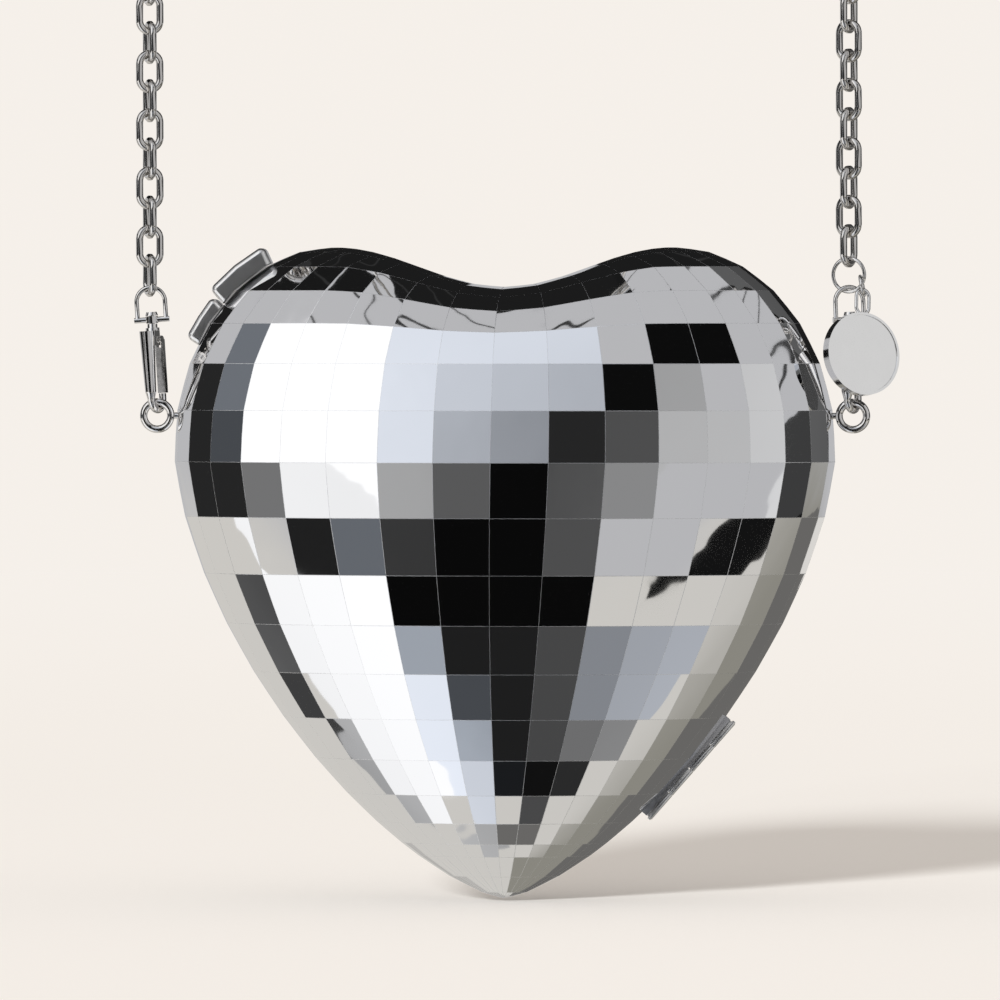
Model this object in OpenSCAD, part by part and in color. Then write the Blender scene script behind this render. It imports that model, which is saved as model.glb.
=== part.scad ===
// Heart shaped evening purse: two mirror-faceted half shells on a knuckle hinge,
// closed by a pair of crossing tabs and carried on a chain with two swivel snap hooks.
// Purse space: z = 0 at the eyelet rings, y = 0 at the seam, the front faces -Y.
// Every node is then moved so that the origin lies at the crown of the strap.

/* [Heart shell] */
// Width of the heart at its widest line
shell_width = 160.2; // [120:0.1:200]
// Rise of the two lobes above the widest line
lobe_rise = 49.2; // [40:0.1:60]
// Drop of the tip below the widest line
tip_drop = 107.9; // [90:0.1:130]
// Distance of each lobe's peak from the centre line
lobe_centre_x = 41; // [34:0.5:46]
// Depth of the notch below the lobe peaks
notch_drop = 9.6; // [6:0.1:14]
// Drop of the row of largest facets below the widest line
equator_drop = 29.4; // [20:0.1:36]
// Depth of one half shell
shell_depth = 38; // [30:0.5:46]
// Wall of each shell
shell_wall = 1.4; // [1:0.1:2]
// Gap between the two rims when closed
seam_gap = 0.3; // [0.2:0.05:0.6]

/* [Rim frames and linings] */
// Depth of each rim frame behind the seam
frame_depth = 3.2; // [2.4:0.1:4.5]
// Width of each rim frame across its band
frame_band = 3; // [2:0.1:4]
// Thickness of the fabric lining
lining_thick = 0.6; // [0.4:0.1:1]
// Running and seating clearance between neighbouring pieces
seat_gap = 0.3; // [0.2:0.05:0.4]

/* [Hinge] */
// Length of the knuckle barrel
hinge_length = 30.7; // [24:0.1:36]
// Drop of the hinge's middle below the widest line
hinge_drop = 75.8; // [70:0.1:80]
// Diameter of the knuckle barrel
barrel_dia = 2.6; // [2.4:0.1:3.2]
// Diameter of the hinge pin
pin_dia = 1.2; // [1:0.1:1.4]
// Thickness of each hinge leaf
leaf_thick = 0.5; // [0.4:0.05:0.7]
// Reach of each leaf inside the shell wall
leaf_reach = 4; // [3:0.1:6]

/* [Clasp tabs] */
// Length of the front tab along the outline
front_tab_length = 16; // [12:0.1:18]
// Length of the back tab along the outline
back_tab_length = 11; // [9:0.1:14]
// Height of the front tab above the outline
front_tab_height = 4.5; // [3.5:0.1:6]
// Height of the back tab above the outline
back_tab_height = 3.2; // [2.6:0.1:5]
// Width of each tab across the seam
tab_width = 7; // [5:0.1:9]
// Rounding of the tabs
tab_round = 1.5; // [1:0.1:1.6]

/* [Eyelets] */
// Gap between each eyelet ring and the shell's rim
eyelet_stand = 0.5; // [0.3:0.1:3]
// Rise of the eyelets above the widest line
eyelet_rise = 8.5; // [4:0.1:14]
// Mean radius of the eyelet rings
eyelet_r = 3.3; // [3:0.1:4]
// Wire diameter of the eyelet rings
eyelet_wire = 1.8; // [1.4:0.1:2]
// Diameter of the stem that carries each ring
stem_dia = 1.5; // [1.2:0.1:2]

/* [Snap hooks] */
// Height of the swivel loop's top wire above the eyelet centres
loop_top = 31; // [28:0.1:36]
// Mean radius of the swivel loop
loop_r = 3.45; // [3.2:0.05:4]
// Wire diameter of the swivel loop
loop_wire = 1.1; // [0.9:0.1:1.3]
// Wire diameter of the hook's bend
hook_wire = 1.8; // [1.4:0.1:1.9]
// Mean radius of the hook's bend
hook_bend_r = 2.7; // [2.4:0.1:3]
// Diameter of the hook's shank at its upper end
shank_dia = 3.7; // [3:0.1:4]
// Diameter of the hook's shank at its lower end
shank_low_dia = 2.7; // [2.2:0.1:3]
// Angle that the hooks are turned about the strap line
hook_yaw = -24; // [-30:1:0]
// Diameter of the gate pins
gate_pin_dia = 0.9; // [0.8:0.05:1]
// Width of each gate
gate_width = 2.2; // [2:0.1:2.6]
// Thickness of each gate
gate_thick = 1.2; // [1:0.1:1.4]

/* [Strap chain] */
// Pitch of the chain links
link_pitch = 7.03; // [6:0.01:8]
// Wire thickness of the links
link_wire = 1.65; // [1.4:0.05:1.8]
// Outside width of a link
link_width = 6.8; // [6.2:0.1:7.4]
// Turn of the whole chain about its own line
chain_twist = 25; // [0:1:40]
// Offset of the left run outwards from its eyelet
left_run_out = 1.8; // [-2:0.1:4]
// Offset of the right run outwards from its eyelet
right_run_out = -1; // [-2:0.1:4]
// Links in the left run below the arch
run_links = 10; // [6:1:20]

/* [Jump ring and tag] */
// Wire diameter of the jump ring
jump_wire = 0.9; // [0.8:0.05:1.1]
// Diameter of the tag disc
tag_dia = 20; // [16:0.5:22]
// Thickness of the tag disc
tag_thick = 2.5; // [1.8:0.1:3]
// Width of the polished border round the tag's face
tag_border = 0.6; // [0.4:0.1:1]
// Turn of the tag's face towards the right
tag_yaw = 35.7; // [20:0.1:45]
// Distance of the tag's middle outwards from the right run
tag_out = 3.4; // [2:0.1:5]
// Distance of the tag's middle in front of the seam
tag_front = 5.4; // [5:0.1:7]
// Height of the tag's middle above the eyelet centres
tag_low = 14.9; // [13:0.1:16]
// Mean radius of the tag's own ring
tag_ring_r = 2.3; // [2.2:0.1:2.6]
// Wire diameter of the tag's own ring
tag_ring_wire = 0.9; // [0.7:0.05:1]

/* [Hidden] */

// Facet grid of the shells
facet_columns = 9;
facet_rows = 9;
column_step = 90 / facet_columns;
row_step = 90 / facet_rows;
half_w = shell_width / 2;
outer_reach = half_w - lobe_centre_x;
taper_power_share = 1.6;
taper_curve_share = 0.71;
depth_curve_share = 0.75;
dip_curve_share = 1.25;
undipped_rows = 4;
lower_span_share = 0.88;
tail_shares = [0.93, 0.98];
tip_wall_share = 1.5;
lower_drop = tip_drop - equator_drop;

// Height is counted from the widest line
function half_width(h) = h >= 0
    ? lobe_centre_x + outer_reach * sqrt(max(0, 1 - pow(h / lobe_rise, 2)))
    : half_w * pow(max(0, 1 - pow(-h / tip_drop, taper_power_share)), taper_curve_share);
function notch_wave(x) = (1 + cos(180 * min(1, abs(x) / lobe_centre_x))) / 2;
function upper_row(i) = [
    (lobe_rise + equator_drop) * sin(i * row_step) - equator_drop,
    cos(i * row_step),
    i <= undipped_rows ? 0
        : pow(sin(90 * (i - undipped_rows) / (facet_rows - undipped_rows)), dip_curve_share)];
function lower_row(share) = [
    -equator_drop - lower_drop * share, pow(1 - share * share, depth_curve_share), 0];
rows = concat(
    [for (i = [facet_rows:-1:0]) upper_row(i)],
    [for (j = [1:facet_rows - 1]) lower_row(lower_span_share * sin(j * row_step))],
    [for (share = tail_shares) lower_row(share)]);
last = len(rows) - 1;
side = facet_columns;
tip_point = [0, 0, -tip_drop - eyelet_rise];

function grid_point(r, k) = let (x = sin(k * column_step) * half_width(rows[r][0]))
    [x, -shell_depth * rows[r][1] * cos(k * column_step),
        rows[r][0] - eyelet_rise - rows[r][2] * notch_drop * notch_wave(x)];
function unit(v) = v / norm(v);
// Inward direction in the plane of the seam, for a rim that runs along v
function rim_inward(v) = unit([v[2], 0, -v[0]]);
function below(r, k) = r == last ? tip_point : grid_point(r + 1, k);
function inward(r, k) =
    r == 0 && abs(k) == side
        ? rim_inward((k > 0 ? 1 : -1) * (grid_point(1, k) - grid_point(0, k - sign(k))))
    : r == 0 ? rim_inward(grid_point(0, k + 1) - grid_point(0, k - 1))
    : abs(k) == side ? rim_inward(sign(k) * (below(r, k) - grid_point(r - 1, k)))
    : unit(cross(grid_point(r, k + 1) - grid_point(r, k - 1), below(r, k) - grid_point(r - 1, k)));

// Corners of the faceted skin at an inset from the outside, row by row, then the tip
function skin(inset) = concat(
    [for (r = [0:last]) for (k = [-side:side]) grid_point(r, k) + inset * inward(r, k)],
    [tip_point + [0, 0, inset * tip_wall_share]]);
across = 2 * side + 1;
corners = (last + 1) * across + 1;
function at(r, k) = r * across + k + side;
facets = concat(
    [for (r = [0:last - 1]) for (k = [-side:side - 1]) each [
        [at(r, k), at(r, k + 1), at(r + 1, k + 1)],
        [at(r, k), at(r + 1, k + 1), at(r + 1, k)]]],
    [for (k = [-side:side - 1]) [at(last, k), at(last, k + 1), corners - 1]]);
rim = concat(
    [for (k = [-side:side]) at(0, k)],
    [for (r = [1:last]) at(r, side)],
    [corners - 1],
    [for (r = [last:-1:1]) at(r, -side)]);
edges = len(rim);

// A faceted half heart of even wall, open at the seam
module half_heart(inset, wall) {
    polyhedron(
        points = concat(skin(inset), skin(inset + wall)),
        faces = concat(
            facets,
            [for (f = facets) [f[2] + corners, f[1] + corners, f[0] + corners]],
            [for (e = [0:edges - 1]) let (next = rim[(e + 1) % edges]) each [
                [next, rim[e], rim[e] + corners],
                [next, rim[e] + corners, next + corners]]]));
}

// The heart's outline at the seam, moved inwards
function outline(inset) = [for (p = concat(
        [for (k = [-side:side]) grid_point(0, k) + inset * inward(0, k)],
        [for (r = [1:last]) grid_point(r, side) + inset * inward(r, side)],
        [tip_point + [0, 0, 2 * inset]],
        [for (r = [last:-1:1]) grid_point(r, -side) + inset * inward(r, -side)]))
    [p[0], p[2]]];

overrun = shell_wall;
// How far the shell's wall leans in, at most, over a depth behind the seam
wall_lean_share = 0.4;
frame_inset = shell_wall + seat_gap + wall_lean_share * frame_depth;
inner_inset = shell_wall + seat_gap;

// Strap runs, arch and crown
eyelet_x = half_width(eyelet_rise) + eyelet_stand + eyelet_r + eyelet_wire / 2;
strap_left_x = -eyelet_x - left_run_out;
strap_right_x = eyelet_x + right_run_out;
ring_top = eyelet_r;
left_lean = atan((strap_left_x + eyelet_x) / (loop_top - ring_top));
right_lean = atan((strap_right_x - eyelet_x) / (loop_top - ring_top));
link_gap = 0.1;
link_length = link_pitch + 2 * link_wire + link_gap;
link_reach = (link_length - link_wire) / 2;
loop_top_z = ring_top + (loop_top - ring_top) * cos(left_lean);
first_link_z = loop_top_z - (loop_wire + link_wire + link_gap) / 2 + link_reach;
arch_r = (strap_right_x - strap_left_x) / 2;
arch_x = (strap_right_x + strap_left_x) / 2;
arch_links = 2 * ceil(90 / asin(link_pitch / (2 * arch_r)) / 2);
arch_half_step = 90 / arch_links;
run_top_z = first_link_z + (run_links - 1) * link_pitch;
arch_z = run_top_z + arch_r * sin(arch_half_step);
crown_z = arch_z + arch_r;

// Jump ring, sized to bring both runs level
ring_gap = 0.12;
jump_low_z = loop_top - (loop_wire + jump_wire) / 2 - ring_gap;
jump_high_z = first_link_z + link_pitch - link_reach + (link_wire + jump_wire) / 2 + ring_gap;
jump_r = (jump_high_z - jump_low_z) / 2;
jump_z = (jump_high_z + jump_low_z) / 2;
jump_yaw = -18;

// Moves a node from purse space to its place under the strap's crown
module hang() {
    translate([-arch_x, 0, -crown_z])
        children();
}

// Mirrors the front's form to the back
module to_back() {
    mirror([0, 1, 0])
        children();
}

module ring(mean_r, wire, sides = 48) {
    rotate_extrude($fn = sides)
        translate([mean_r, 0])
            circle(d = wire, $fn = 24);
}

// Hinge: its own z axis runs along the barrel and its x axis points away from the heart
hinge_z = -hinge_drop - eyelet_rise;
hinge_span = hinge_length / 3;
hinge_lean = atan((half_width(hinge_span - hinge_drop) - half_width(-hinge_span - hinge_drop))
    / (2 * hinge_span));
barrel_r = barrel_dia / 2;
hinge_off = barrel_r + seat_gap;
pin_clear = 0.05;
knuckles = 4;
knuckle_gap = 0.12;
knuckle_pitch = hinge_length / knuckles;
pin_head_r = pin_dia / 2 + 0.2;
pin_head_thick = 0.4;
leaf_low = seam_gap / 2;
leaf_depth = leaf_reach + shell_wall;
relief_depth = leaf_low + leaf_thick + pin_clear;

module at_hinge() {
    translate([half_width(-hinge_drop), 0, hinge_z])
        rotate([0, hinge_lean, 0])
            translate([hinge_off, 0, 0])
                children();
}

// Notch in a rim, in which one leaf lies
module hinge_relief() {
    at_hinge()
        translate([-leaf_depth - hinge_off - seat_gap, -relief_depth, -hinge_length / 2 - seat_gap])
            cube([leaf_depth + hinge_off + seat_gap, 2 * relief_depth, hinge_length + 2 * seat_gap]);
}

// One leaf with every second knuckle; the leaf lies on the front side of the seam
module hinge_leaf(first) {
    difference() {
        union() {
            translate([-hinge_off - leaf_depth, -leaf_low - leaf_thick, -hinge_length / 2])
                cube([leaf_depth + hinge_off - barrel_r - seat_gap, leaf_thick, hinge_length]);
            for (n = [first:2:knuckles - 1])
                translate([0, 0, -hinge_length / 2 + n * knuckle_pitch + knuckle_gap / 2]) {
                    cylinder(r = barrel_r, h = knuckle_pitch - knuckle_gap, $fn = 40);
                    translate([-hinge_off - leaf_depth / 2, -leaf_low - leaf_thick, 0])
                        cube([hinge_off + leaf_depth / 2, leaf_thick, knuckle_pitch - knuckle_gap]);
                }
        }
        cylinder(d = pin_dia + 2 * pin_clear, h = 2 * hinge_length, center = true, $fn = 40);
    }
}

// Half of the gap between the two rims, across the whole outline
module seam_slab() {
    translate([-half_w - overrun, -seam_gap / 2, -tip_drop - eyelet_rise - overrun])
        cube([shell_width + 2 * overrun, overrun, lobe_rise + tip_drop + 2 * overrun]);
}

module front_shell() {
    color("silver") hang()
        difference() {
            half_heart(0, shell_wall);
            seam_slab();
            hinge_relief();
        }
}

module back_shell() {
    color("silver") hang()
        difference() {
            to_back()
                difference() {
                    half_heart(0, shell_wall);
                    seam_slab();
                }
            hinge_relief();
            for (s = [-1, 1])
                stem_at(s)
                    cylinder(d = stem_dia + 2 * pin_clear, h = 2 * stem_length, center = true, $fn = 32);
        }
}

module rim_frame() {
    translate([0, -seam_gap / 2, 0])
        rotate([90, 0, 0])
            linear_extrude(frame_depth)
                difference() {
                    polygon(outline(frame_inset));
                    polygon(outline(frame_inset + frame_band));
                }
}

// Lining: a thin skin inside the shell that stops behind the rim frame
module lining() {
    translate([0, -seam_gap / 2, 0])
        difference() {
            half_heart(inner_inset, lining_thick);
            translate([-half_w, -frame_depth - seat_gap, -tip_drop - eyelet_rise])
                cube([shell_width, frame_depth + seat_gap + overrun, lobe_rise + tip_drop]);
        }
}

module front_frame() {
    color("gray") hang()
        difference() {
            rim_frame();
            hinge_relief();
        }
}

module back_frame() {
    color("gray") hang()
        difference() {
            to_back()
                rim_frame();
            hinge_relief();
            for (s = [-1, 1])
                stem_at(s)
                    cylinder(d = stem_dia + 2 * pin_clear, h = 2 * stem_length, center = true, $fn = 32);
        }
}

module front_lining() {
    color("dimgray") hang()
        lining();
}

module back_lining() {
    color("dimgray") hang()
        to_back()
            lining();
}

module hinge_leaf_front() {
    color("darkgray") hang()
        at_hinge()
            hinge_leaf(1);
}

module hinge_leaf_back() {
    color("darkgray") hang()
        at_hinge()
            to_back()
                hinge_leaf(0);
}

module hinge_pin() {
    color("dimgray") hang()
        at_hinge() {
            cylinder(d = pin_dia, h = hinge_length + 2 * seat_gap, center = true, $fn = 40);
            for (s = [-1, 1])
                translate([0, 0, s * (hinge_length + seat_gap + pin_head_thick) / 2])
                    cylinder(r = pin_head_r, h = pin_head_thick, center = true, $fn = 40);
        }
}

// Clasp tabs: each stands on the outline's upper left and reaches over the seam
tab_meet_angle = 46;
tab_sweep_r = (outer_reach + lobe_rise) / 2;
front_tab_sweep = front_tab_length / tab_sweep_r * 180 / PI;
back_tab_sweep = back_tab_length / tab_sweep_r * 180 / PI;
tab_gap_sweep = seat_gap / tab_sweep_r * 180 / PI;
tab_round_sweep = tab_round / tab_sweep_r * 180 / PI;
tab_shift = tab_width / 5;

// A point above the outline's upper left quarter, at an angle from the horizontal
function lobe_point(angle, height) = [
    -lobe_centre_x - (outer_reach + height) * cos(angle), 0,
    (lobe_rise + height) * sin(angle) - eyelet_rise];

module tab(from, to, height, shift) {
    difference() {
        hull()
            for (angle = [from + tab_round_sweep, (from + to) / 2, to - tab_round_sweep])
                for (s = [-1, 1])
                    for (h = [0, height - tab_round])
                        translate(lobe_point(angle, h) + [0, s * (tab_width / 2 - tab_round) + shift, 0])
                            sphere(r = tab_round, $fn = 20);
        rotate([90, 0, 0])
            linear_extrude(2 * tab_width, center = true)
                polygon(outline(-seat_gap / 2));
    }
}

module clasp_tab_front() {
    color("silver") hang()
        tab(tab_meet_angle + tab_gap_sweep, tab_meet_angle + tab_gap_sweep + front_tab_sweep,
            front_tab_height, -tab_shift);
}

module clasp_tab_back() {
    color("silver") hang()
        tab(tab_meet_angle - tab_gap_sweep - back_tab_sweep, tab_meet_angle - tab_gap_sweep,
            back_tab_height, tab_shift);
}

// Eyelet stems run through the back shell's wall into its rim frame, just behind the seam
stem_y = seam_gap / 2 + stem_dia / 2 + seat_gap;
stem_length = eyelet_x - half_width(eyelet_rise) + frame_inset + frame_band;

module stem_at(s) {
    translate([s * (eyelet_x - eyelet_r), stem_y, 0])
        rotate([0, s * -90, 0])
            children();
}

module eyelet(s) {
    translate([s * eyelet_x, 0, 0])
        rotate([90, 0, 0])
            ring(eyelet_r, eyelet_wire);
    stem_at(s)
        cylinder(d = stem_dia, h = stem_length - eyelet_r, $fn = 32);
}

module eyelet_left() {
    color("silver") hang()
        eyelet(-1);
}

module eyelet_right() {
    color("silver") hang()
        eyelet(1);
}

// Snap hooks: built upright over the eyelet, then leaned to meet the strap
hook_low = ring_top - eyelet_wire / 2 - link_gap - hook_wire / 2;
bend_z = hook_low + hook_bend_r;
loop_side = loop_r;
base_z = loop_top - loop_r - loop_side - hook_bend_r / 3;
bar_dia = 1.2 * loop_wire;
bar_length = 2 * loop_r + 1.45 * loop_wire;
base_boss_dia = 3;
base_boss_high = 1.7;
rivet_dia = 1.3;
rivet_head_dia = 3.2;
rivet_head_high = 0.9;
collar_dia = 2.5;
collar_high = 1;
plate_dia = 3.4;
plate_high = 0.7;
shank_top = base_z - base_boss_high / 2 - ring_gap - collar_high - plate_high;
ear_thick = 1.1;
ear_drop = 3.6;
gate_pin_z = shank_top - ear_drop * 0.6;
gate_y = hook_bend_r;
tip_high = 1.2;

module at_clasp(s) {
    translate([s * eyelet_x, 0, ring_top])
        rotate([0, s < 0 ? left_lean : right_lean, 0])
            translate([0, 0, -ring_top])
                children();
}

module swivel_loop(yaw) {
    rotate([0, 0, yaw]) {
        difference() {
            union() {
                translate([0, 0, loop_top - loop_r])
                    rotate([90, 0, 0])
                        rotate_extrude(angle = 180, $fn = 48)
                            translate([loop_r, 0])
                                circle(d = loop_wire, $fn = 24);
                for (s = [-1, 1])
                    translate([s * loop_r, 0, base_z])
                        cylinder(d = loop_wire, h = loop_top - loop_r - base_z, $fn = 24);
                translate([0, 0, base_z])
                    rotate([0, 90, 0])
                        cylinder(d = bar_dia, h = bar_length, center = true, $fn = 24);
                translate([0, 0, base_z])
                    cylinder(d = base_boss_dia, h = base_boss_high, center = true, $fn = 32);
            }
            translate([0, 0, base_z])
                cylinder(d = rivet_dia + 2 * pin_clear, h = 2 * base_boss_high, center = true, $fn = 32);
        }
    }
}

module snap_hook() {
    rotate([0, 0, hook_yaw])
        difference() {
            union() {
                translate([0, 0, base_z + base_boss_high / 2 + ring_gap])
                    cylinder(d1 = rivet_head_dia, d2 = rivet_head_dia * 0.8, h = rivet_head_high, $fn = 32);
                translate([0, 0, shank_top])
                    cylinder(d = rivet_dia, h = base_z + base_boss_high - shank_top, $fn = 32);
                translate([0, 0, shank_top + plate_high])
                    cylinder(d = collar_dia, h = collar_high, $fn = 32);
                translate([0, 0, shank_top])
                    cylinder(d = plate_dia, h = plate_high, $fn = 32);
                translate([0, -hook_bend_r, bend_z])
                    cylinder(d1 = hook_wire, d2 = shank_low_dia, h = hook_wire, $fn = 40);
                translate([0, -hook_bend_r, bend_z + hook_wire])
                    cylinder(d1 = shank_low_dia, d2 = shank_dia, h = shank_top - bend_z - hook_wire, $fn = 40);
                translate([-ear_thick, -hook_bend_r, shank_top - ear_drop * 0.4])
                    cube([2 * ear_thick, hook_bend_r + plate_dia / 3, ear_drop * 0.4]);
                translate([-ear_thick / 2, -hook_bend_r, shank_top - ear_drop])
                    cube([ear_thick, hook_bend_r + gate_y - gate_thick / 4, ear_drop]);
                translate([-ear_thick / 2, gate_y - gate_thick / 4, gate_pin_z])
                    rotate([0, 90, 0])
                        cylinder(d = gate_thick * 1.4, h = ear_thick, $fn = 32);
                translate([0, 0, bend_z])
                    rotate([90, 0, 90])
                        rotate([0, 0, 180])
                            rotate_extrude(angle = 180, $fn = 48)
                                translate([hook_bend_r, 0])
                                    circle(d = hook_wire, $fn = 24);
                translate([0, hook_bend_r, bend_z])
                    cylinder(d = hook_wire, h = tip_high, $fn = 24);
            }
            translate([0, gate_y - gate_thick / 4, gate_pin_z])
                rotate([0, 90, 0])
                    cylinder(d = gate_pin_dia + 2 * pin_clear, h = 2 * plate_dia, center = true, $fn = 32);
        }
}

module gate() {
    low = bend_z + tip_high + link_gap;
    rotate([0, 0, hook_yaw])
        difference() {
            union() {
                translate([-gate_width / 2, gate_y - gate_thick / 4, low])
                    cube([gate_width, gate_thick, gate_pin_z - low]);
                translate([-gate_width / 2, gate_y - gate_thick / 4, gate_pin_z])
                    rotate([0, 90, 0])
                        cylinder(d = gate_thick * 1.5, h = gate_width, $fn = 32);
            }
            translate([-ear_thick / 2 - pin_clear, -gate_y, gate_pin_z - ear_drop * 0.55])
                cube([ear_thick + 2 * pin_clear, 4 * gate_y, 2 * ear_drop]);
            translate([0, gate_y - gate_thick / 4, gate_pin_z])
                rotate([0, 90, 0])
                    cylinder(d = gate_pin_dia + 2 * pin_clear, h = 2 * plate_dia, center = true, $fn = 32);
        }
}

module gate_pin() {
    rotate([0, 0, hook_yaw])
        translate([0, gate_y - gate_thick / 4, gate_pin_z])
            rotate([0, 90, 0])
                cylinder(d = gate_pin_dia, h = gate_width, center = true, $fn = 32);
}

module swivel_loop_left() {
    color("silver") hang()
        at_clasp(-1)
            swivel_loop(0);
}

module swivel_loop_right() {
    color("silver") hang()
        at_clasp(1)
            swivel_loop(-jump_yaw);
}

module hook_left() {
    color("silver") hang()
        at_clasp(-1)
            snap_hook();
}

module hook_right() {
    color("silver") hang()
        at_clasp(1)
            snap_hook();
}

module gate_left() {
    color("lightgray") hang()
        at_clasp(-1)
            gate();
}

module gate_right() {
    color("lightgray") hang()
        at_clasp(1)
            gate();
}

module gate_pin_left() {
    color("gray") hang()
        at_clasp(-1)
            gate_pin();
}

module gate_pin_right() {
    color("gray") hang()
        at_clasp(1)
            gate_pin();
}

// Chain link: an oval of flattened wire that stands along z
flat_share = 0.42;
link_end_r = (link_width - link_wire) / 2;
link_straight = link_length - link_width;
flat = link_wire / 2;
wire_section = [for (c = [[1, 1], [-1, 1], [-1, -1], [1, -1]])
    each (c[0] * c[1] > 0
        ? [[c[0] * flat, c[1] * flat * flat_share], [c[0] * flat * flat_share, c[1] * flat]]
        : [[c[0] * flat * flat_share, c[1] * flat], [c[0] * flat, c[1] * flat * flat_share]])];

module link() {
    rotate([90, 0, 0]) {
        for (s = [0, 1])
            mirror([0, s, 0])
                translate([0, link_straight / 2, 0])
                    rotate_extrude(angle = 180, $fn = 48)
                        translate([link_end_r, 0])
                            polygon(wire_section);
        for (s = [-1, 1])
            translate([s * link_end_r, 0, 0])
                rotate([90, 0, 0])
                    linear_extrude(link_straight, center = true)
                        polygon(wire_section);
    }
}

module run(x, first, twist) {
    for (n = [0:run_links - 1 - first])
        translate([x, 0, first_link_z + (n + first) * link_pitch])
            rotate([0, 0, 90 + twist + 90 * n])
                link();
}

module chain_left() {
    color("darkgray") hang()
        run(strap_left_x, 0, chain_twist);
}

module chain_right() {
    color("darkgray") hang()
        run(strap_right_x, 1, -chain_twist);
}

module chain_crown() {
    color("darkgray") hang()
        translate([arch_x, 0, arch_z])
            for (n = [0:arch_links - 1])
                rotate([0, (2 * n + 1) * arch_half_step - 90, 0])
                    translate([0, 0, arch_r])
                        rotate([0, 90, 0])
                            rotate([0, 0, 90 + chain_twist + 90 * (n + run_links)])
                                link();
}

module jump_ring() {
    color("silver") hang()
        translate([strap_right_x, 0, jump_z])
            rotate([90, 0, jump_yaw])
                ring(jump_r, jump_wire);
}

// Tag: its ring hangs on the jump ring beside the swivel loop, and the disc leans on the hook
tag_hang_angle = 58;
tag_ring_tilt = 12;
tag_ring_lean = 60;
tag_ring_slack = 1.3;
bail_lean = 30;
bail_slack = 0.3;
bail_wire = 0.9;
bail_width = 4.4;
bail_seat = 0.7;
tag_hang = [strap_right_x + jump_r * sin(tag_hang_angle) * cos(jump_yaw),
    jump_r * sin(tag_hang_angle) * sin(jump_yaw), jump_z - jump_r * cos(tag_hang_angle)];
// A direction in the tag ring's plane, leaning forwards from its lowest point
function ring_way(lean) = [cos(lean) * sin(tag_ring_tilt), -sin(lean), -cos(lean) * cos(tag_ring_tilt)];
tag_ring_centre = tag_hang + (tag_ring_r - tag_ring_slack) * ring_way(tag_ring_lean);
bail_top = tag_ring_centre
    + (tag_ring_r - (bail_wire + tag_ring_wire) / 2 - bail_slack) * ring_way(bail_lean);
tag_centre = [strap_right_x + tag_out, -tag_front, tag_low];
tag_hold = bail_top - tag_centre;
tag_across = [cos(tag_yaw), sin(tag_yaw), 0];
tag_facing = [sin(tag_yaw), -cos(tag_yaw), 0];
tag_tilt = -atan(tag_hold * tag_facing / tag_hold[2]);
tag_bail_angle = asin(tag_hold * tag_across / norm(tag_hold));
bail_length = norm(tag_hold) - tag_dia / 2 + bail_seat + bail_wire / 2;

module tag_ring() {
    color("silver") hang()
        translate(tag_ring_centre)
            rotate([0, 90 - tag_ring_tilt, 0])
                ring(tag_ring_r, tag_ring_wire, 40);
}

// An oval wire loop that stands up from its lower end
module bail() {
    bend_r = (bail_width - bail_wire) / 2;
    straight = bail_length - bail_width;
    translate([0, bail_width / 2, 0]) {
        for (s = [0, 1])
            translate([0, s * straight, 0])
                rotate([0, 0, s * 180 - 180])
                    rotate_extrude(angle = 180, $fn = 32)
                        translate([bend_r, 0])
                            circle(d = bail_wire, $fn = 20);
        for (s = [-1, 1])
            translate([s * bend_r, 0, 0])
                rotate([-90, 0, 0])
                    cylinder(d = bail_wire, h = straight, $fn = 20);
    }
}

module tag_disc() {
    color("gainsboro") hang()
        translate(tag_centre)
            rotate([0, 0, tag_yaw])
                rotate([90 - tag_tilt, 0, 0]) {
                    translate([0, 0, -tag_thick / 2])
                        difference() {
                            cylinder(d = tag_dia, h = tag_thick, $fn = 96);
                            translate([0, 0, tag_thick - tag_border / 2])
                                cylinder(d = tag_dia - 2 * tag_border, h = tag_border, $fn = 96);
                        }
                    rotate([0, 0, -tag_bail_angle])
                        translate([0, tag_dia / 2 - bail_seat, 0])
                            bail();
                }
}

back_shell();
back_frame();
back_lining();
hinge_leaf_back();
hinge_pin();
eyelet_left();
eyelet_right();
clasp_tab_back();
front_shell();
front_frame();
front_lining();
hinge_leaf_front();
clasp_tab_front();
chain_left();
chain_crown();
chain_right();
jump_ring();
tag_ring();
tag_disc();
swivel_loop_left();
hook_left();
gate_left();
gate_pin_left();
swivel_loop_right();
hook_right();
gate_right();
gate_pin_right();
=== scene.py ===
import math

import bpy
import numpy as np
from mathutils import Matrix, Vector


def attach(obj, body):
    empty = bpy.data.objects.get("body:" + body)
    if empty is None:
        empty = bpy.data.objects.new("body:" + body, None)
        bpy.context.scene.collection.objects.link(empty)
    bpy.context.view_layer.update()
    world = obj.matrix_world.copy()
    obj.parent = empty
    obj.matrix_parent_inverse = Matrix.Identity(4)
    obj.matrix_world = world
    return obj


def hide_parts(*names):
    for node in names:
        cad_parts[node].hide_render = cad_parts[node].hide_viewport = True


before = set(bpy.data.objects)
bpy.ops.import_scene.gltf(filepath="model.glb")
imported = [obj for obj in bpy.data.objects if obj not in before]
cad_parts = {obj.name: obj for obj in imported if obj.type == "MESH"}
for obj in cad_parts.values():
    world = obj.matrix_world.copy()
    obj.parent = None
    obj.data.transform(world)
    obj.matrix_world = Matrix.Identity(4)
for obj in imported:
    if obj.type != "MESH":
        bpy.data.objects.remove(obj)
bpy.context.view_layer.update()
scene = bpy.context.scene

# Sizes are in millimetres and angles in degrees, as in the part's source
MM = 0.001
# Middle of the line between the two eyelets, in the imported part's frame, and the floor's drop below it
PURSE = Vector((1.4 * MM, 0, -185.285 * MM))
FLOOR_DROP = 117.0

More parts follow.
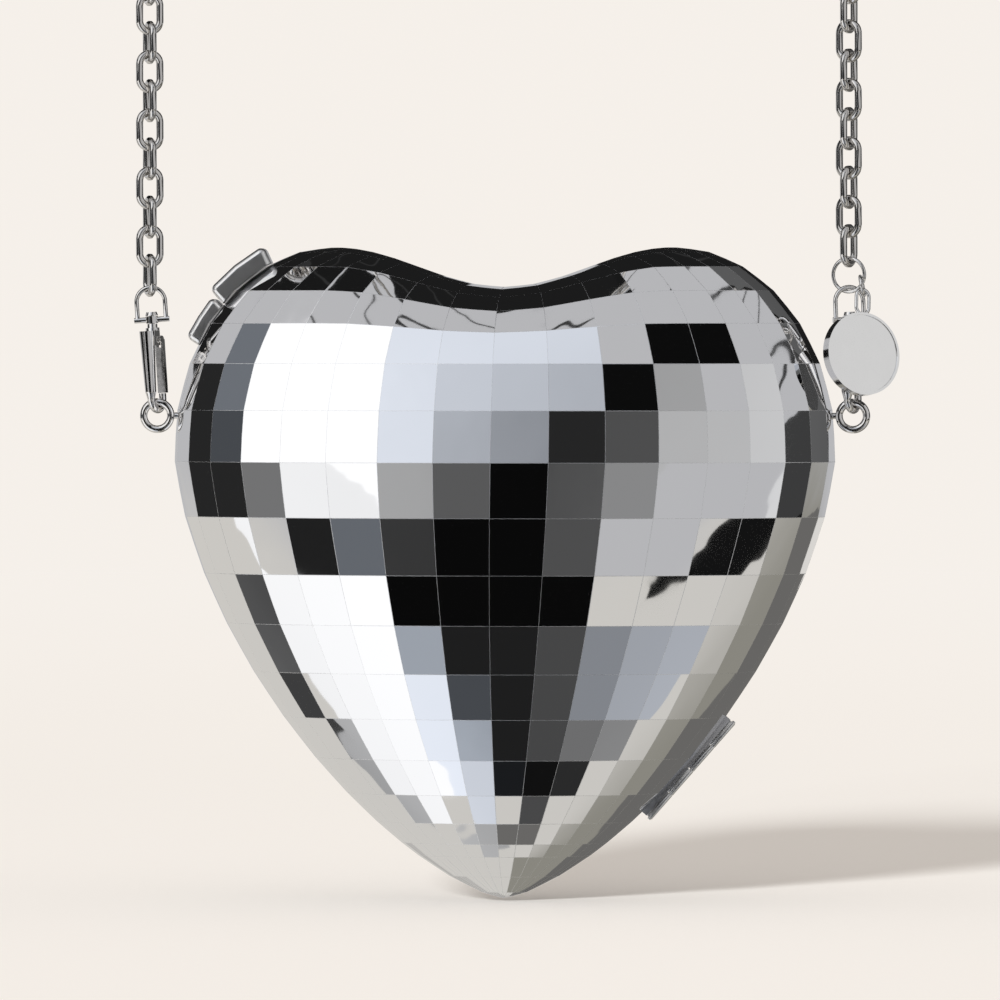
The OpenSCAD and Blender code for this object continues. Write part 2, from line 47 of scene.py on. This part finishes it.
# Outline of the heart
SHELL_WIDTH = 160.2
LOBE_RISE = 49.2
TIP_DROP = 107.9
LOBE_CENTRE = 41
NOTCH_DROP = 9.6
EQUATOR_DROP = 29.4
EYELET_RISE = 8.5
HALF_WIDTH = SHELL_WIDTH / 2
# How full the flanks are, how they close in at the tip, how steep the notch is, how the depth tapers
FLANK_POWER = 1.6
FLANK_ROUND = 0.71
NOTCH_POWER = 1.25
TAPER_POWER = 0.75

# Half shells, rim frames and lining
SHELL_DEPTH = 38
SHELL_WALL = 1.4
SEAM_GAP = 0.3
FRAME_DEPTH = 3.2
SEAT_GAP = 0.3
CLOTH_THICK = 0.4
# Height and length of the cloth's slow unevenness
CLOTH_UNEVEN = 0.35
CLOTH_WAVE = 12

# Facets from the middle line to the rim, which is also the number of rows above the largest ones
SIDE = 9
ROWS = 20
FACET_TURN = 10
# The notch starts this many rows above the largest facets, and its curve turns by this much a row
NOTCH_ROW = 4
NOTCH_TURN = 18
# Below the largest facets the row lines follow a sine of this share of the drop to the tip,
# and from the tail's row line on they close up to the tail's shares
LOWER_SHARE = 0.88
TAIL_ROW = 17
TAIL_SHARES = (LOWER_SHARE * math.sin(math.radians(FACET_TURN * (TAIL_ROW - SIDE))), 0.93, 0.98, 1.0)
# How far each facet is crowned towards the smooth heart, and how wide the ridge between two facets is
CROWN_SHARE = 0.3
RIDGE_WIDTH = 0.1
# Pieces that each facet is cut into, across and down
SHELL_CUTS = 2
CLOTH_CUTS = 3

# Hinge: place and lean of its line, and the reach of its leaves into the wall
HINGE_DROP = 75.8
HINGE_LEAN = 41.2669
HINGE_LENGTH = 30.7
HINGE_OUT = 1.6
LEAF_DEPTH = 5.4
KNUCKLES = 4
KNUCKLE_R = 0.6
KNUCKLE_WALL = 0.14
KNUCKLE_GAP = 0.16
LEAF_EASE = 0.05
PIN_R = 0.42
PIN_STAND = 0.35
PIN_EASE = 0.2
# Faces of each leaf, and of the tongues that join it to its knuckles, in front of the seam
LEAF_FACES = (-0.65, -0.19)
TONGUE_FACES = (-0.62, -0.2)
# Where leaf and tongues end, counted outwards from the knuckles' inner side
LEAF_END = -0.35
TONGUE_ENDS = (-0.6, 0.1)

# Rim frame's corner at the tip: points within a reach of the middle line and below the corner's top
# belong at the inner corner, or at the outer one if they lie below the split
CORNER_REACH = 0.3
CORNER_TOP = -100
CORNER_SPLIT = -107.5
CORNER_INNER = -110.2
CORNER_OUTER = -112.6

# Points that lie closer than this are one
MERGE = 0.001 * MM


class Wire:
    """A node socket on which arithmetic adds nodes"""

    def __init__(self, tree, socket):
        self.tree, self.socket = tree, socket

    def _math(self, operation, *values):
        return Shading(self.tree).node("ShaderNodeMath", {"operation": operation}, dict(enumerate(values)))

    def __add__(self, other):
        return self._math("ADD", self, other)

    def __sub__(self, other):
        return self._math("SUBTRACT", self, other)

    def __mul__(self, other):
        return self._math("MULTIPLY", self, other)

    def __truediv__(self, other):
        return self._math("DIVIDE", self, other)

    def __rsub__(self, other):
        return self._math("SUBTRACT", other, self)

    def __neg__(self):
        return self._math("MULTIPLY", self, -1)

    __radd__, __rmul__ = __add__, __mul__

    def clamp(self):
        return Shading(self.tree).node("ShaderNodeClamp", {}, {"Value": self})

    def step(self, low, high):
        """0 below low, 1 above high, smooth between them"""
        return Shading(self.tree).node(
            "ShaderNodeMapRange", {"interpolation_type": "SMOOTHSTEP"},
            {"Value": self, "From Min": low, "From Max": high})


class Shading:
    """A material's or the world's node tree"""

    def __init__(self, tree):
        self.tree = tree

    def node(self, kind, settings=None, inputs=None, output=0):
        """A node with its settings made first, then its sockets' values or links; gives one output"""
        made = self.tree.nodes.new(kind)
        for name, value in (settings or {}).items():
            setattr(made, name, value)
        for name, value in (inputs or {}).items():
            socket = made.inputs[name]
            if isinstance(value, Wire):
                self.tree.links.new(value.socket, socket)
            elif hasattr(socket.default_value, "__len__") and len(socket.default_value) == 4:
                socket.default_value = (*value, 1)
            else:
                socket.default_value = value
        return Wire(self.tree, made.outputs[output]) if made.outputs else None

    def blend(self, factor, first, second):
        """Two colours mixed by a factor"""
        return self.node("ShaderNodeMix", {"data_type": "RGBA"}, {0: factor, 6: first, 7: second}, output=2)

    def place(self):
        return self.node("ShaderNodeTexCoord", output="Object")

    def noise(self, scale, detail=3, roughness=0.5, where=None, distortion=0):
        return self.node("ShaderNodeTexNoise", {}, {
            "Vector": where or self.place(), "Scale": scale, "Detail": detail,
            "Roughness": roughness, "Distortion": distortion})

    def bump(self, height, depth):
        return self.node("ShaderNodeBump", {}, {"Height": height, "Distance": depth, "Strength": 1.0})


def finish(name, **values):
    """A new material with its Principled shader's plain values set"""
    material = bpy.data.materials.new(name)
    material.use_nodes = True
    shader = material.node_tree.nodes["Principled BSDF"]
    for key, value in values.items():
        shader.inputs[key.replace("_", " ")].default_value = value
    return material, Shading(material.node_tree), shader


def feed(nodes, shader, **wires):
    """Links what changes over the surface to the shader's sockets"""
    for key, wire in wires.items():
        nodes.tree.links.new(wire.socket, shader.inputs[key.replace("_", " ")])


def mirror_plate():
    """Bright chrome over cast facets: a little haze, a very slow ripple"""
    material, nodes, shader = finish("mirror_plate", Metallic=1.0)
    haze = nodes.noise(scale=60)
    tint = nodes.blend(nodes.noise(scale=9, detail=2), (0.90, 0.905, 0.925), (0.96, 0.96, 0.965))
    ripple = nodes.noise(scale=55, detail=2, roughness=0.4)
    feed(nodes, shader, Base_Color=tint, Roughness=haze * 0.03 + 0.012,
         Normal=nodes.bump(ripple, depth=0.09 * MM))
    return material


def plated(name, light, dark, gloss):
    """Plated small hardware: tone and gloss vary a little, softly pitted"""
    material, nodes, shader = finish(name, Metallic=1.0)
    grain = 260
    tint = nodes.blend(nodes.noise(grain), dark, light)
    feed(nodes, shader, Base_Color=tint, Roughness=nodes.noise(grain * 3, detail=2) * 0.08 + gloss,
         Normal=nodes.bump(nodes.noise(grain, detail=2), depth=0.01 * MM))
    return material


def satin_steel():
    """Satin nickel plated steel with a brushed grain along the rim"""
    material, nodes, shader = finish("satin_steel", Metallic=1.0)
    stretched = nodes.node("ShaderNodeMapping", {}, {"Vector": nodes.place(), "Scale": (900, 3500, 900)})
    grain = nodes.noise(scale=1, detail=4, roughness=0.6, where=stretched)
    feed(nodes, shader, Base_Color=nodes.blend(grain, (0.5, 0.5, 0.52), (0.68, 0.68, 0.7)),
         Roughness=grain * 0.18 + 0.24, Normal=nodes.bump(grain, depth=0.008 * MM))
    return material


def suede():
    """Short napped cloth"""
    material, nodes, shader = finish("suede", Metallic=0.0, Sheen_Weight=0.35)
    nap = nodes.noise(scale=2600, roughness=0.65)
    cloud = nodes.noise(scale=70, detail=4, roughness=0.55)
    tint = nodes.blend(nap * 0.5 + cloud * 0.5, (0.035, 0.035, 0.04), (0.15, 0.15, 0.165))
    feed(nodes, shader, Base_Color=tint, Roughness=nap * 0.1 + 0.86,
         Normal=nodes.bump(nap + cloud * 0.4, depth=0.15 * MM))
    return material


MIRROR = mirror_plate()
HARDWARE = plated("hook_plate", (0.90, 0.88, 0.86), (0.78, 0.765, 0.75), 0.03)
CLASP = plated("clasp_plate", (0.95, 0.945, 0.94), (0.88, 0.875, 0.87), 0.26)
LINKS = plated("link_plate", (0.86, 0.835, 0.81), (0.60, 0.585, 0.565), 0.02)
RIDGES = plated("facet_ridges", (0.95, 0.95, 0.96), (0.88, 0.88, 0.90), 0.28)
TAG = plated("tag_plate", (0.975, 0.97, 0.965), (0.94, 0.935, 0.93), 0.07)
STEEL = satin_steel()
SUEDE = suede()


def coat(piece, material):
    """Gives a piece one finish all over"""
    piece.data.materials.clear()
    piece.data.materials.append(material)


def deselect():
    bpy.ops.object.select_all(action="DESELECT")


def only(piece):
    """Selects one piece and makes it the active one"""
    deselect()
    piece.select_set(True)
    bpy.context.view_layer.objects.active = piece


def modifier(piece, kind, **settings):
    """Adds a modifier and applies it"""
    only(piece)
    made = piece.modifiers.new(kind, kind)
    for key, value in settings.items():
        setattr(made, key, value)
    bpy.ops.object.modifier_apply(modifier=made.name)


def in_edit(piece, *steps):
    """Runs edit mode steps on all of a piece's mesh"""
    only(piece)
    bpy.ops.object.mode_set(mode="EDIT")
    bpy.ops.mesh.select_all(action="SELECT")
    for step in steps:
        step()
    bpy.ops.object.mode_set(mode="OBJECT")


def settle(piece):
    """Puts a finished piece's place into its mesh"""
    only(piece)
    bpy.ops.object.transform_apply(location=True, rotation=True, scale=True)


def ease(piece, width, angle=40, segments=2):
    """Rounds the edges that turn by more than an angle"""
    modifier(piece, "BEVEL", limit_method="ANGLE", angle_limit=math.radians(angle),
             width=width * MM, segments=segments)


def smooth(piece, angle=40):
    """Shades a piece smooth, with edges that turn by more than an angle kept crisp"""
    only(piece)
    bpy.ops.object.shade_smooth_by_angle(angle=math.radians(angle))


def level(piece):
    """Lets the flat faces rule the shading beside their eased edges"""
    modifier(piece, "WEIGHTED_NORMAL", keep_sharp=True, weight=80)


def mirror(piece, centre):
    """Turns a piece of the front half into its counterpart behind the seam"""
    in_edit(piece,
            lambda: bpy.ops.transform.mirror(constraint_axis=(False, True, False), center_override=centre),
            bpy.ops.mesh.flip_normals)


def half_width(up):
    """Half of the heart's width at a height above its widest line"""
    if up >= 0:
        return LOBE_CENTRE + (HALF_WIDTH - LOBE_CENTRE) * math.sqrt(max(0, 1 - (up / LOBE_RISE) ** 2))
    return HALF_WIDTH * max(0, 1 - (-up / TIP_DROP) ** FLANK_POWER) ** FLANK_ROUND


def row_line(v):
    """Height, share of the depth and share of the notch of a row line, counted down from the lobes"""
    if v <= SIDE:
        turn = math.radians(FACET_TURN * (SIDE - v))
        up = (LOBE_RISE + EQUATOR_DROP) * math.sin(turn) - EQUATOR_DROP
        notch_rows = max(0, SIDE - v - NOTCH_ROW)
        return up, math.cos(turn), math.sin(math.radians(NOTCH_TURN * notch_rows)) ** NOTCH_POWER
    share = LOWER_SHARE * math.sin(math.radians(FACET_TURN * (v - SIDE)))
    if v > TAIL_ROW:
        share = float(np.interp(v - TAIL_ROW, range(len(TAIL_SHARES)), TAIL_SHARES))
    return -EQUATOR_DROP - (TIP_DROP - EQUATOR_DROP) * share, max(0, 1 - share * share) ** TAPER_POWER, 0


def skin_point(u, v):
    """A point of the smooth heart: u counts columns from the middle, v rows from the top"""
    up, depth, notch = row_line(v)
    turn = math.radians(FACET_TURN * u)
    x = math.sin(turn) * (half_width(up) if v < ROWS else 0)
    wave = (1 + math.cos(math.pi * min(1, abs(x) / LOBE_CENTRE))) / 2
    return np.array((x, -SHELL_DEPTH * depth * math.cos(turn), up - EYELET_RISE - notch * NOTCH_DROP * wave))


CORNERS = {(u, v): skin_point(u, v) for u in range(-SIDE, SIDE + 1) for v in range(ROWS + 1)}


def facet_point(u, v):
    """A point of the faceted heart, with each facet crowned a little"""
    left, top = min(math.floor(u), SIDE - 1), min(math.floor(v), ROWS - 1)
    a, b = u - left, v - top
    flat = ((CORNERS[left, top] * (1 - a) + CORNERS[left + 1, top] * a) * (1 - b)
            + (CORNERS[left, top + 1] * (1 - a) + CORNERS[left + 1, top + 1] * a) * b)
    return flat + CROWN_SHARE * (skin_point(u, v) - flat)


def heart_skin(name, cuts):
    """A grid with each facet cut again, bent to the front half; spots are its points' places in the grid"""
    across, down = 2 * SIDE * cuts, ROWS * cuts
    deselect()
    bpy.ops.mesh.primitive_grid_add(x_subdivisions=across, y_subdivisions=down, size=1)
    piece = bpy.context.object
    piece.name = piece.data.name = name
    spots = [(round((vert.co.x + 0.5) * across), round((0.5 - vert.co.y) * down))
             for vert in piece.data.vertices]
    for vert, (i, j) in zip(piece.data.vertices, spots):
        vert.co = PURSE + Vector(facet_point(i / cuts - SIDE, j / cuts)) * MM
    return piece, spots


def face_outwards(piece):
    """Closes the skin's tip and points its faces out of the heart"""
    in_edit(piece, lambda: bpy.ops.mesh.remove_doubles(threshold=MERGE),
            lambda: bpy.ops.mesh.normals_make_consistent(inside=False))
    if piece.data.polygons[len(piece.data.polygons) // 2].normal.y > 0:
        in_edit(piece, bpy.ops.mesh.flip_normals)


def cut_at(depth):
    """Cuts off what lies behind a depth in front of the seam, in edit mode"""
    bpy.ops.mesh.bisect(plane_co=PURSE - Vector((0, depth * MM, 0)), plane_no=(0, 1, 0), clear_outer=True)


def half_shell(name, back):
    """A faceted half heart of even wall, with a fine polished ridge between its facets"""
    piece, spots = heart_skin(name, SHELL_CUTS)
    weights = piece.data.attributes.new("bevel_weight_edge", "FLOAT", "EDGE")
    for edge in piece.data.edges:
        (a, b), (c, d) = (spots[i] for i in edge.vertices)
        on_column = a == c and a % SHELL_CUTS == 0 and 0 < a < 2 * SIDE * SHELL_CUTS
        on_row = b == d and b % SHELL_CUTS == 0 and b > 0
        weights.data[edge.index].value = 1.0 if on_column or on_row else 0.0
    face_outwards(piece)
    coat(piece, MIRROR)
    piece.data.materials.append(RIDGES)
    modifier(piece, "BEVEL", limit_method="WEIGHT", width=RIDGE_WIDTH * MM, segments=2, material=1)
    modifier(piece, "SOLIDIFY", thickness=SHELL_WALL * MM, offset=-1)
    in_edit(piece, lambda: cut_at(SEAM_GAP / 2), lambda: bpy.ops.mesh.select_all(action="DESELECT"),
            bpy.ops.mesh.select_non_manifold, bpy.ops.mesh.bridge_edge_loops)
    if back:
        mirror(piece, PURSE)
    smooth(piece, 24)
    level(piece)
    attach(piece, "back" if back else "lid")
    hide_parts("back_shell" if back else "front_shell")


HINGE_MIDDLE = PURSE + Vector((half_width(-HINGE_DROP), 0, -HINGE_DROP - EYELET_RISE)) * MM
HINGE_PLACE = (Matrix.Translation(HINGE_MIDDLE) @ Matrix.Rotation(math.radians(HINGE_LEAN), 4, "Y")
               @ Matrix.Translation((HINGE_OUT * MM, 0, 0)))


def at_hinge(piece):
    """Moves a piece from the hinge's own frame to its place: x points outwards, z along the barrel"""
    piece.matrix_world = HINGE_PLACE
    settle(piece)


def block(x, y, z):
    """A box in the hinge's own frame, from three pairs of bounds"""
    deselect()
    low, high = (Vector(corner) * MM for corner in zip(x, y, z))
    bpy.ops.mesh.primitive_cube_add(size=1, location=(low + high) / 2)
    made = bpy.context.object
    made.scale = high - low
    settle(made)
    return made


def knuckle(middle, length):
    """Sheet steel rolled round the pin"""
    deselect()
    bpy.ops.mesh.primitive_cylinder_add(vertices=40, radius=KNUCKLE_R * MM, depth=length * MM,
                                        end_fill_type="NOTHING", location=(0, 0, middle * MM))
    roll = bpy.context.object
    modifier(roll, "SOLIDIFY", thickness=KNUCKLE_WALL * MM, offset=-1)
    return roll


def hinge_half(name, first, body):
    """A leaf of sheet steel with a knuckle at every second place, counted from the first"""
    pitch = HINGE_LENGTH / KNUCKLES
    length = pitch - KNUCKLE_GAP
    parts = [block((-HINGE_OUT - LEAF_DEPTH, LEAF_END - KNUCKLE_R), LEAF_FACES,
                   (-HINGE_LENGTH / 2, HINGE_LENGTH / 2))]
    for n in range(first, KNUCKLES, 2):
        middle = (n + 0.5) * pitch - HINGE_LENGTH / 2
        parts.append(block([end - KNUCKLE_R for end in TONGUE_ENDS], TONGUE_FACES,
                           (middle - length / 2, middle + length / 2)))
        parts.append(knuckle(middle, length))
    for part in parts:
        ease(part, LEAF_EASE)
        coat(part, STEEL if part is parts[0] else CLASP)
    only(parts[0])
    for part in parts:
        part.select_set(True)
    bpy.ops.object.join()
    leaf = bpy.context.object
    leaf.name = leaf.data.name = name
    settle(leaf)
    if body == "back":
        mirror(leaf, (0, 0, 0))
    at_hinge(leaf)
    smooth(leaf)
    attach(leaf, body)
    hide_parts("hinge_leaf_back" if body == "back" else "hinge_leaf_front")


def hinge_wire():
    """The pin, its ends rounded over"""
    deselect()
    bpy.ops.mesh.primitive_cylinder_add(vertices=32, radius=PIN_R * MM,
                                        depth=(HINGE_LENGTH + 2 * PIN_STAND) * MM)
    pin = bpy.context.object
    pin.name = pin.data.name = "hinge_wire"
    ease(pin, PIN_EASE, segments=3)
    at_hinge(pin)
    smooth(pin)
    coat(pin, CLASP)
    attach(pin, "back")
    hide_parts("hinge_pin")


def cloth_lining(name, back):
    """Cloth glued into a half shell, a little uneven where it bridges the facets"""
    piece, _ = heart_skin(name, CLOTH_CUTS)
    face_outwards(piece)
    modifier(piece, "DISPLACE", strength=-(SHELL_WALL + SEAT_GAP) * MM, mid_level=0)
    folds = bpy.data.textures.new(name, "CLOUDS")
    folds.noise_scale = CLOTH_WAVE * MM
    modifier(piece, "DISPLACE", strength=-CLOTH_UNEVEN * MM, mid_level=0,
             texture=folds, texture_coords="GLOBAL")
    in_edit(piece, lambda: cut_at(FRAME_DEPTH + SEAT_GAP + SEAM_GAP / 2))
    modifier(piece, "SOLIDIFY", thickness=CLOTH_THICK * MM, offset=-1)
    if back:
        mirror(piece, PURSE)
    only(piece)
    bpy.ops.object.shade_smooth()
    coat(piece, SUEDE)
    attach(piece, "back" if back else "lid")
    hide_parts("back_lining" if back else "front_lining")


def tip_corner(piece):
    """Draws the rim frame's band straight into its corner at the heart's tip"""
    for vert in piece.data.vertices:
        across, up = (vert.co.x - PURSE.x) / MM, (vert.co.z - PURSE.z) / MM
        if abs(across) < CORNER_REACH and up < CORNER_TOP:
            vert.co.z = PURSE.z + (CORNER_INNER if up > CORNER_SPLIT else CORNER_OUTER) * MM


def refined(node, body, material, edge=0, soft=40, reshape=None):
    """A cast or turned piece with its edges eased and its curves smooth, made from the node it stands for"""
    only(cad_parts[node])
    bpy.ops.object.duplicate()
    piece = bpy.context.object
    piece.name = piece.data.name = node + "_eased"
    in_edit(piece, lambda: bpy.ops.mesh.remove_doubles(threshold=2 * MERGE),
            bpy.ops.mesh.customdata_custom_splitnormals_clear)
    if reshape:
        reshape(piece)
    if edge:
        in_edit(piece, lambda: bpy.ops.mesh.dissolve_limited(angle_limit=math.radians(0.5)))
        ease(piece, edge, angle=30)
        in_edit(piece, lambda: bpy.ops.mesh.dissolve_degenerate(threshold=0.1 * MERGE),
                bpy.ops.mesh.delete_loose)
    smooth(piece, soft)
    level(piece)
    coat(piece, material)
    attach(piece, body)
    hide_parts(node)


# Shells, hinge and lining
half_shell("front_half", False)
half_shell("back_half", True)
hinge_half("front_leaf", 1, "lid")
hinge_half("back_leaf", 0, "back")
hinge_wire()
cloth_lining("front_cloth", False)
cloth_lining("back_cloth", True)

# Frames, tag, tabs, hooks, rings and chain
refined("front_frame", "lid", STEEL, edge=0.15, reshape=tip_corner)
refined("back_frame", "back", STEEL, edge=0.15, reshape=tip_corner)
refined("tag_disc", "tag", TAG, edge=0.14)
refined("clasp_tab_front", "lid", CLASP, edge=0.3)
refined("clasp_tab_back", "back", CLASP, edge=0.3)
for side in ("left", "right"):
    refined("hook_" + side, side + "_hook", HARDWARE, edge=0.08)
    refined("gate_" + side, side + "_gate", HARDWARE, edge=0.05)
    refined("swivel_loop_" + side, "strap", HARDWARE, soft=60)
    refined("eyelet_" + side, "back", HARDWARE, soft=60)
    # The gate pins are plain turned rods, so their nodes stay
    coat(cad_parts["gate_pin_" + side], HARDWARE)
for name in ("chain_left", "chain_crown", "chain_right"):
    refined(name, "strap", LINKS, soft=65)
for name in ("jump_ring", "tag_ring"):
    refined(name, "strap", HARDWARE, soft=60)


def camera():
    """A long lens a little to the right of the purse and just above it"""
    yaw, rise = math.radians(5.4), math.radians(0.8)
    # Distance to the purse and width of the picture there in metres, width of the sensor in millimetres
    distance, picture, sensor = 3.0, 0.2411, 36
    away = Vector((math.sin(yaw) * math.cos(rise), -math.cos(yaw) * math.cos(rise), math.sin(rise)))
    aim = PURSE + Vector((-1.0, 0, -20.3)) * MM
    deselect()
    bpy.ops.object.camera_add(location=aim + away * distance)
    made = bpy.context.object
    made.rotation_euler = away.to_track_quat("Z", "Y").to_matrix().to_euler()
    made.data.lens = sensor * distance / picture
    made.data.clip_end = 50
    scene.camera = made


PAPER_TONE = (0.918, 0.872, 0.822)


def paper():
    """Matt studio paper, which has the tone of the wall far away"""
    material, nodes, shader = finish("paper", Roughness=0.9, Specular_IOR_Level=0.0)
    mottle = nodes.noise(scale=0.8, detail=1)
    feed(nodes, shader, Base_Color=nodes.blend(mottle, (0.95, 0.91, 0.86), (0.985, 0.94, 0.89)))
    reach = nodes.node("ShaderNodeVectorMath", {"operation": "LENGTH"}, {0: nodes.place()}, output=1)
    glow = nodes.node("ShaderNodeEmission", {}, {"Color": PAPER_TONE, "Strength": 1.0})
    lit = Wire(nodes.tree, shader.outputs[0])
    sweep = nodes.node("ShaderNodeMixShader", {}, {0: reach.step(0.5, 4.0), 1: lit, 2: glow})
    nodes.tree.links.new(sweep.socket, nodes.tree.nodes["Material Output"].inputs["Surface"])
    return material


def paper_floor():
    """A wide sheet under the purse's tip, which the plating doesn't mirror"""
    deselect()
    bpy.ops.mesh.primitive_plane_add(size=40, location=(0, 0, PURSE.z - FLOOR_DROP * MM))
    floor = bpy.context.object
    floor.name = "floor"
    settle(floor)
    coat(floor, paper())
    floor.visible_glossy = False


def key_light():
    """A large soft lamp at the upper left, which casts the shadow to the right"""
    deselect()
    bpy.ops.object.light_add(type="SUN", location=(-0.6, -2.6, 0.8))
    key = bpy.context.object
    key.data.energy = 3.9
    key.data.color = (0.97, 1.0, 1.02)
    key.data.angle = math.radians(8)
    key.rotation_euler = (math.radians(74), 0, math.radians(-12))
    key.visible_glossy = False


camera()
paper_floor()
key_light()

# The room that the plating mirrors: its world starts from an empty node tree
world = scene.world or bpy.data.worlds.new("studio")
scene.world = world
world.use_nodes = True
world.node_tree.nodes.clear()
world.cycles.sampling_method = "NONE"
room = Shading(world.node_tree)
way = room.node("ShaderNodeTexCoord", output="Generated")
x, y, z = (room.node("ShaderNodeSeparateXYZ", {}, {"Vector": way}, output=i) for i in range(3))
azimuth = room.node("ShaderNodeMath", {"operation": "ARCTAN2"}, {0: x, 1: -y}) * math.degrees(1)
height = room.node("ShaderNodeMath", {"operation": "ARCSINE"}, {0: z}) * math.degrees(1)
# Cloth and paper edges in the studio are never quite straight
stir = room.noise(scale=13, detail=2, roughness=0.55, where=way) - 0.5
azimuth, height = azimuth + stir * 4.5, height + stir * 3.2


def within(angle, low, high):
    """1 between two bounds, 0 outside"""
    return room.node("ShaderNodeMath", {"operation": "COMPARE"},
                     {0: angle, 1: (low + high) / 2, 2: (high - low) / 2})


def panel(view, left, right, low, high, tones, tint):
    """A softbox or a flag: its edges in degrees from straight ahead, and its brightness across"""
    mask = within(azimuth, left, right) * within(height, low, high)
    colours = [tuple(tone * part for part in tint) for tone in tones]
    if len(tones) == 1:
        return room.blend(mask, view, colours[0])
    return room.blend(mask, view, room.blend(((azimuth - left) / (right - left)).clamp(), *colours))


WARM = (1.0, 0.97, 0.92)
COOL = (0.95, 1.0, 1.09)
ICY = (0.92, 1.0, 1.12)
PLAIN = (1, 1, 1)
# Left, right, low and high edge, one tone or the tones at the left and right edge, and the tint
PANELS = [
    # Behind the purse
    (150, 172, 16, 52, (0.9, 0.75), PLAIN),
    (-158, -138, -2, 26, (0.66, 0.8), PLAIN),
    (-176, -150, -48, -22, (0.4, 0.5), WARM),
    (148, 170, -36, -8, (0.72,), WARM),
    (-182, -104, 13, 82, (0.012,), PLAIN),
    (146, 182, 11, 82, (0.012,), PLAIN),
    (98, 150, -5, 82, (0.13, 0.05), PLAIN),
    (118, 182, -52, -10, (0.145,), WARM),
    # Left wall
    (-112, -62, -9, 26, (0.02,), PLAIN),
    (-76, -62, 17, 40, (0.17,), ICY),
    (-76, -62, 6, 17, (0.07,), ICY),
    (-125, -85, 60, 82, (0.01,), PLAIN),
    (-64, -48, -3, 6, (0.18,), PLAIN),
    # Big softbox, whose inner edge falls off to a cool grey
    (-63, -26, 8, 58, (1.1,), PLAIN),
    (-52, -28, 1, 10, (0.95, 0.9), PLAIN),
    (-27, 10, 49, 68, (0.82, 0.68), COOL),
    (-27, -15, 18, 47, (0.88, 0.72), COOL),
    (-16, 12, 30, 49, (0.66, 0.44), COOL),
    (-16, 3, 18, 30, (0.52, 0.24), COOL),
    (-28, -15, 7, 17, (0.46, 0.34), PLAIN),
    (-16, -6, 8, 18, (0.105,), PLAIN),
    (-44, -28, -5, 2, (0.145,), ICY),
    (-54, -43, -6, 1, (0.015,), PLAIN),
    # Dark gap straight ahead
    (-28, 6, -3, 8, (0.05, 0.003), PLAIN),
    (-18, 6, -4, 8, (0.003,), PLAIN),
    (-6, 4, 7, 18, (0.003,), PLAIN),
    (-26, 18, -12, -3, (0.003,), PLAIN),
    (3, 13, 18, 30, (0.02,), PLAIN),
    (12, 23, 29, 43, (0.004,), PLAIN),
    (21, 51, 41, 54, (0.004,), PLAIN),
    # Right wall
    (13, 24, 17, 29, (0.08,), PLAIN),
    (23, 40, 27, 41, (0.34, 0.42), PLAIN),
    (4, 14, 7, 18, (0.05, 0.11), PLAIN),
    (14, 26, 5, 17, (0.26,), PLAIN),
    (5, 15, -3, 7, (0.08,), PLAIN),
    (76, 100, -13, 10, (0.0475,), PLAIN),
    # Edge of the table
    (36, 98, -15.5, -9.5, (0.007,), PLAIN),
    # The table, which mirrors the room more dimly, and the right wall above it
    (-100, -78, -32, -16, (0.12, 0.06), PLAIN),
    (-98, -78, -60, -38, (0.36, 0.5), PLAIN),
    (-104, -86, -42, -32, (0.05,), PLAIN),
    (-78, -30, -62, -10, (0.96, 1.1), PLAIN),
    (-31, -18, -28, -14, (0.38,), ICY),
    (-20, -6, -28, -13, (0.014,), PLAIN),
    (-20, -6, -39, -27, (0.07,), ICY),
    (-36, -18, -62, -28, (0.92, 0.82), COOL),
    (-19, -7, -50, -39, (0.45, 0.29), ICY),
    (-27, -8, -70, -50, (0.72, 0.6), COOL),
    (-8, 8, -50, -13, (0.014,), PLAIN),
    (-9, 8, -62, -50, (0.012,), ICY),
    (-72, -12, -82, -70, (0.5, 0.36), PLAIN),
    (7, 19, -51, -14, (0.065,), PLAIN),
    (19, 36, -41, -17, (0.25,), COOL),
    (34, 66, -44, -22, (0.36, 0.46), COOL),
    (64, 80, -9, 8, (0.7,), PLAIN),
    (52, 76, 8, 36, (0.56, 0.68), PLAIN),
    (27, 50, 8, 27, (0.46, 0.52), PLAIN),
    (22, 42, -52, -41, (0.165,), PLAIN),
    (42, 63, -54, -43, (0.22, 0.28), PLAIN),
    (8, 27, -62, -51, (0.006,), PLAIN),
    (26, 50, -63, -52, (0.025,), PLAIN),
    (10, 36, -71, -62, (0.07,), PLAIN),
    (-14, 46, -80, -71, (0.15,), WARM),
]

# Walls above the table's far edge, the table below it, and the panels over both
table = room.blend(azimuth.step(66, 104), (0.63, 0.61, 0.57), (0.27, 0.26, 0.225))
view = room.blend(height.step(-11, -5), table, (0.50, 0.50, 0.51))
for each in PANELS:
    view = panel(view, *each)
# Cables and clamps below the ceiling show as thin dark scribbles
scribble = room.noise(scale=4.2, detail=1, roughness=0.4, where=way, distortion=1.2)
cable = within(scribble, 0.515, 0.535)
ceiling = within(height, 58, 88) * (1 - within(azimuth, -24, 18))
right_wall = within(height, 22, 66) * within(azimuth, 78, 118)
left_wall = within(height, 26, 60) * within(azimuth, -118, -78)
view = room.blend(cable * (ceiling + right_wall + left_wall).clamp(), view, (0.03, 0.03, 0.03))

# Only reflections see the room: everything else gets even light, and the camera sees paper
camera_ray = room.node("ShaderNodeLightPath", output="Is Camera Ray")
glossy_ray = room.node("ShaderNodeLightPath", output="Is Glossy Ray")
even = (0.60, 0.575, 0.555)
seen = room.blend(camera_ray, room.blend(glossy_ray, even, view), PAPER_TONE)
background = room.node("ShaderNodeBackground", {}, {"Color": seen, "Strength": 1.0})
room.node("ShaderNodeOutputWorld", {}, {"Surface": background})

scene.view_settings.view_transform = "Standard"
